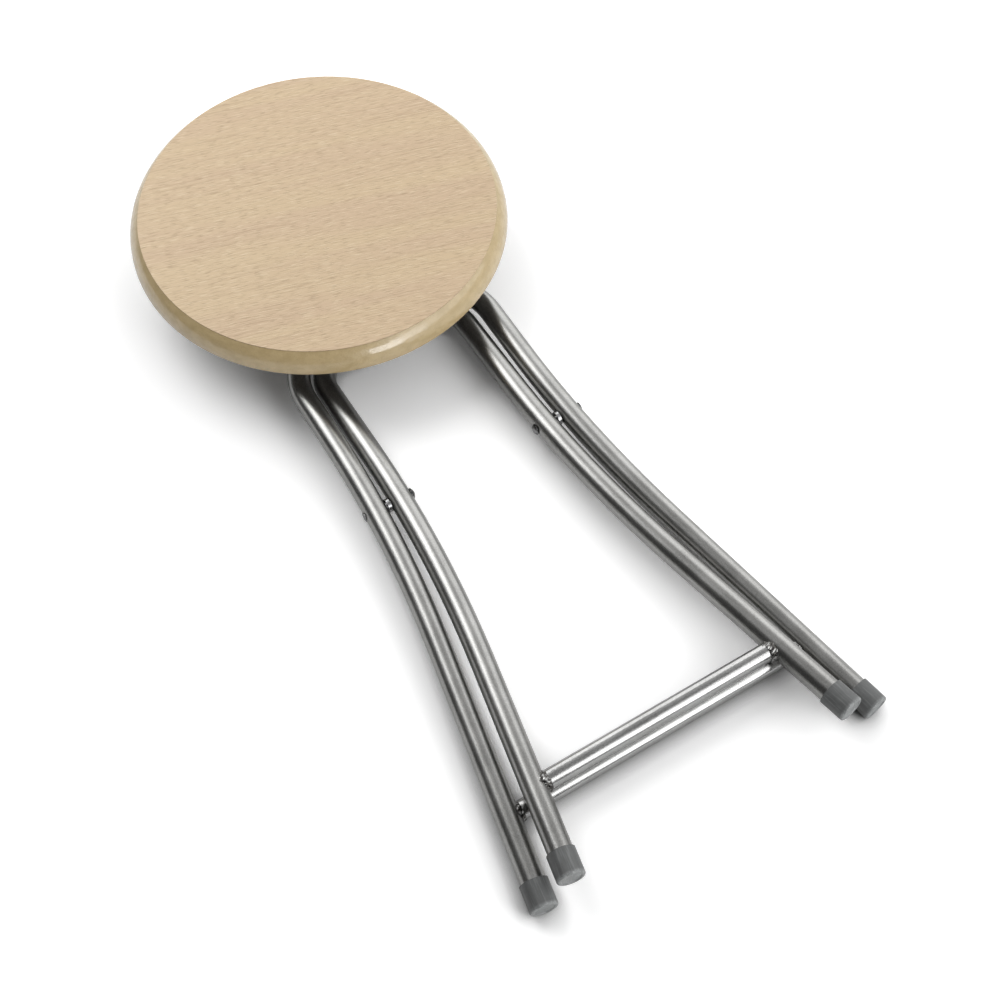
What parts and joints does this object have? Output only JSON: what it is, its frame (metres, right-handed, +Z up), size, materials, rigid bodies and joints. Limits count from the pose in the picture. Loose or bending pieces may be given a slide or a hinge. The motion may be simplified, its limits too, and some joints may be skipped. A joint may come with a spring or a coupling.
{
  "type": "folding stool",
  "caption": "Folding stool, stored flat: round wood-faced seat hinged to two nested bent-tube leg frames that scissor on rivets, with cross stretchers and push-on foot caps.",
  "frame": {"origin": "floor under the middle of the folded stool's box", "axes": "+X across the stool, along its hinge and pivot axes; +Y from the feet to the seat; +Z up, out of the seat's top"},
  "size_m": [0.3, 0.7069, 0.0738],
  "materials": {
    "beech_foil": "satin lacquer",
    "lacquered_board": "gloss lacquer",
    "silver_paint": "satin metallic",
    "weld_bead": "painted over, rippled",
    "rail_steel": "zinc plated",
    "zinc": "bright zinc",
    "grey_cap": "moulded, slightly glossy"
  },
  "bodies": {
    "seat": {"seat_board": "lacquered_board", "seat_top_foil": "beech_foil", "seat_rail_left": "rail_steel", "seat_rail_right": "rail_steel", "rail_screws_left": "zinc", "rail_screws_right": "zinc"},
    "outer_frame": {"outer_leg_tube": "silver_paint", "outer_stretcher": "silver_paint", "outer_weld_left": "weld_bead", "outer_weld_right": "weld_bead", "outer_cap_left": "grey_cap", "outer_cap_right": "grey_cap", "pivot_rivet_left": "zinc", "pivot_rivet_right": "zinc", "pivot_spacer_left": "zinc", "pivot_spacer_right": "zinc"},
    "inner_frame": {"inner_leg_tube": "silver_paint", "inner_stretcher": "silver_paint", "inner_weld_left": "weld_bead", "inner_weld_right": "weld_bead", "inner_cap_left": "grey_cap", "inner_cap_right": "grey_cap"}
  },
  "joints": [
    {"name": "seat_hinge", "type": "hinge", "parent": "seat", "child": "outer_frame", "pos_m": [0, 0.12766, 0.02333], "axis": [1, 0, 0], "range_deg": [0, 118.99]},
    {"name": "leg_pivot", "type": "hinge", "parent": "outer_frame", "child": "inner_frame", "pos_m": [0, -0.03528, 0.01885], "axis": [-1, 0, 0], "range_deg": [0, 56.83]}
  ]
}
